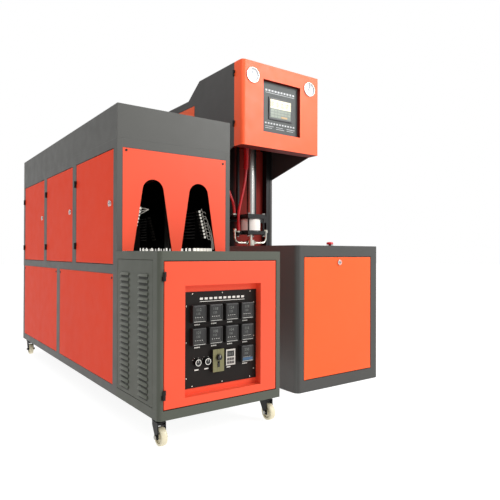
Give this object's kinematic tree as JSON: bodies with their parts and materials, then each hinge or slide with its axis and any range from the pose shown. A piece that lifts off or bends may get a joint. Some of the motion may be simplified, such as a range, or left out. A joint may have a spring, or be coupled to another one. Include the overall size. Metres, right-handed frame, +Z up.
{
  "type": "blow moulding machine",
  "caption": "Two-unit stretch blow moulding machine: preform oven on casters with control cabinet, and blowing unit with mould clamp, sealing nozzle and stretch cylinder.",
  "frame": {"origin": "point on the floor under the blowing nozzle's axis, on the underside of the blowing unit's base plate", "axes": "+X to the operator's right, away from the oven unit; +Y to the back of the machine; +Z up"},
  "size_m": [1.6103, 2.3733, 1.99],
  "materials": {
    "frame_grey": "semi-gloss powder coat",
    "orange": "semi-gloss powder coat",
    "shell_grey": "semi-gloss powder coat",
    "black_steel": "satin",
    "chrome": "polished",
    "bright_steel": "ground",
    "pale_metal": "satin",
    "cylinder_paint": "satin",
    "white_plastic": "satin",
    "quartz": "clear quartz tube with ceramic ends",
    "hose_red": "satin",
    "button_red": "gloss",
    "instrument_grey": "fine texture",
    "knob_black": "fine texture",
    "dial_white": "gloss",
    "screen_cream": "satin",
    "nylon": "satin"
  },
  "bodies": {
    "machine": {"oven_frame": "frame_grey", "oven_hood": "frame_grey", "cabinet_shell": "frame_grey", "louver_panel": "frame_grey", "front_cover": "frame_grey", "fixed_panels": "orange", "arch_panel": "orange", "body_panels": "orange", "upper_shell": "shell_grey", "blower_base": "black_steel", "column_frame": "black_steel", "rear_forks": "black_steel", "seal_flanges": "black_steel", "panel_screws": "black_steel", "chain_motor": "black_steel", "hinge_pins": "chrome", "stretch_cylinder": "bright_steel", "lamp_reflectors": "bright_steel", "clamp_frame": "bright_steel", "oven_deck": "bright_steel", "clamp_cylinder": "cylinder_paint", "air_receiver": "cylinder_paint", "seal_cylinder": "white_plastic", "mandrel_chain": "white_plastic", "heating_lamps": "quartz", "air_hose_main": "hose_red", "air_hose_second": "hose_red"},
    "oven_door_near": {"oven_door_near": "orange"},
    "oven_door_mid": {"oven_door_mid": "orange"},
    "oven_door_far": {"oven_door_far": "orange"},
    "lock_near": {"door_lock_near": "chrome"},
    "lock_mid": {"door_lock_mid": "chrome"},
    "lock_far": {"door_lock_far": "chrome"},
    "control_door": {"control_door": "orange", "control_plate": "black_steel", "panel_instruments": "instrument_grey"},
    "speed_knob": {"speed_knob": "knob_black"},
    "speed_switch": {"speed_switch": "instrument_grey"},
    "selector_left": {"selector_knob_left": "knob_black"},
    "selector_right": {"selector_knob_right": "knob_black"},
    "access_door": {"access_door": "orange"},
    "access_lock": {"access_lock": "chrome"},
    "stop_button": {"estop_button": "button_red"},
    "head_door": {"head_door": "orange", "screen_plate": "black_steel", "touch_panel": "screen_cream", "pressure_gauges": "dial_white"},
    "needle_left": {"gauge_needle_left": "knob_black"},
    "needle_right": {"gauge_needle_right": "knob_black"},
    "stretch_rod": {"stretch_rod": "chrome"},
    "nozzle": {"nozzle_head": "pale_metal"},
    "platen": {"moving_platen": "bright_steel"},
    "fork_left": {"front_fork_left": "black_steel"},
    "fork_right": {"front_fork_right": "black_steel"},
    "wheel_front_left": {"front_wheel_left": "nylon"},
    "wheel_front_right": {"front_wheel_right": "nylon"},
    "wheel_rear_left": {"rear_wheel_left": "nylon"},
    "wheel_rear_right": {"rear_wheel_right": "nylon"},
    "drive_wheel": {"drive_wheel": "bright_steel"},
    "idler_wheel": {"idler_wheel": "bright_steel"}
  },
  "joints": [
    {"name": "oven_door_near_hinge", "type": "hinge", "parent": "machine", "child": "oven_door_near", "pos_m": [-1.2808, -0.10533, 1], "axis": [0, 0, -1], "range_deg": [0, 110]},
    {"name": "lock_near_turn", "type": "hinge", "parent": "oven_door_near", "child": "lock_near", "pos_m": [-1.2745, -0.6315, 0.994], "axis": [-1, 0, 0], "range_deg": [0, 90]},
    {"name": "oven_door_mid_hinge", "type": "hinge", "parent": "machine", "child": "oven_door_mid", "pos_m": [-1.2808, 0.52733, 1], "axis": [0, 0, -1], "range_deg": [0, 110]},
    {"name": "lock_mid_turn", "type": "hinge", "parent": "oven_door_mid", "child": "lock_mid", "pos_m": [-1.2745, 0.00117, 0.994], "axis": [-1, 0, 0], "range_deg": [0, 90]},
    {"name": "oven_door_far_hinge", "type": "hinge", "parent": "machine", "child": "oven_door_far", "pos_m": [-1.2808, 1.16, 1], "axis": [0, 0, -1], "range_deg": [0, 110]},
    {"name": "lock_far_turn", "type": "hinge", "parent": "oven_door_far", "child": "lock_far", "pos_m": [-1.2745, 0.63383, 0.994], "axis": [-1, 0, 0], "range_deg": [0, 90]},
    {"name": "control_door_hinge", "type": "hinge", "parent": "machine", "child": "control_door", "pos_m": [-1.2525, -1.1608, 0.4], "axis": [0, 0, -1], "range_deg": [0, 110]},
    {"name": "speed_knob_turn", "type": "hinge", "parent": "control_door", "child": "speed_knob", "pos_m": [-0.99, -1.1445, 0.324], "axis": [0, 1, 0], "range_deg": [-140, 140]},
    {"name": "speed_switch_slide", "type": "slide", "parent": "control_door", "child": "speed_switch", "axis": [0, 0, 1], "range_m": [0, 0.006]},
    {"name": "selector_left_turn", "type": "hinge", "parent": "control_door", "child": "selector_left", "pos_m": [-1.0875, -1.1345, 0.312], "axis": [0, 1, 0], "range_deg": [0, 90]},
    {"name": "selector_right_turn", "type": "hinge", "parent": "control_door", "child": "selector_right", "pos_m": [-1.0415, -1.1345, 0.312], "axis": [0, 1, 0], "range_deg": [0, 90]},
    {"name": "access_door_hinge", "type": "hinge", "parent": "machine", "child": "access_door", "pos_m": [0, -0.8705, 0.073], "axis": [1, 0, 0], "range_deg": [0, 85]},
    {"name": "access_lock_turn", "type": "hinge", "parent": "access_door", "child": "access_lock", "pos_m": [0, -0.87, 0.711], "axis": [0, -1, 0], "range_deg": [0, 90]},
    {"name": "stop_button_press", "type": "slide", "parent": "machine", "child": "stop_button", "axis": [0, 0, -1], "range_m": [0, 0.004], "stiffness_N_per_m": 1500, "springref_m": -0.002},
    {"name": "head_door_hinge", "type": "hinge", "parent": "machine", "child": "head_door", "pos_m": [-0.3298, -0.2616, 1.7], "axis": [0, 0, -1], "range_deg": [0, 110]},
    {"name": "needle_left_turn", "type": "hinge", "parent": "head_door", "child": "needle_left", "pos_m": [-0.2425, -0.356, 1.899], "axis": [0, 1, 0], "range_deg": [-135, 135]},
    {"name": "needle_right_turn", "type": "hinge", "parent": "head_door", "child": "needle_right", "pos_m": [0.2425, -0.356, 1.899], "axis": [0, 1, 0], "range_deg": [-135, 135]},
    {"name": "stretch_rod_slide", "type": "slide", "parent": "machine", "child": "stretch_rod", "axis": [0, 0, -1], "range_m": [0, 0.5]},
    {"name": "nozzle_slide", "type": "slide", "parent": "machine", "child": "nozzle", "axis": [0, 0, -1], "range_m": [0, 0.038]},
    {"name": "platen_slide", "type": "slide", "parent": "machine", "child": "platen", "axis": [0, 1, 0], "range_m": [0, 0.18]},
    {"name": "fork_left_swivel", "type": "hinge", "parent": "machine", "child": "fork_left", "pos_m": [-1.2425, -1.0905, 0.1], "axis": [0, 0, 1], "continuous": true},
    {"name": "wheel_front_left_roll", "type": "hinge", "parent": "fork_left", "child": "wheel_front_left", "pos_m": [-1.2425, -1.1125, 0.0375], "axis": [1, 0, 0], "continuous": true},
    {"name": "fork_right_swivel", "type": "hinge", "parent": "machine", "child": "fork_right", "pos_m": [-0.7035, -1.0905, 0.1], "axis": [0, 0, 1], "continuous": true},
    {"name": "wheel_front_right_roll", "type": "hinge", "parent": "fork_right", "child": "wheel_front_right", "pos_m": [-0.7035, -1.1125, 0.0375], "axis": [1, 0, 0], "continuous": true},
    {"name": "wheel_rear_left_roll", "type": "hinge", "parent": "machine", "child": "wheel_rear_left", "pos_m": [-1.2425, 1.1045, 0.0375], "axis": [1, 0, 0], "continuous": true},
    {"name": "wheel_rear_right_roll", "type": "hinge", "parent": "machine", "child": "wheel_rear_right", "pos_m": [-0.6885, 1.1045, 0.0375], "axis": [1, 0, 0], "continuous": true},
    {"name": "drive_wheel_turn", "type": "hinge", "parent": "machine", "child": "drive_wheel", "pos_m": [-0.9225, -0.5145, 0.72], "axis": [0, 0, 1], "continuous": true},
    {"name": "idler_wheel_turn", "type": "hinge", "parent": "machine", "child": "idler_wheel", "pos_m": [-0.9225, 1.0155, 0.72], "axis": [0, 0, 1], "continuous": true}
  ],
  "couplings": [
    {"joint": "idler_wheel_turn", "follows": "drive_wheel_turn", "ratio": 1}
  ]
}
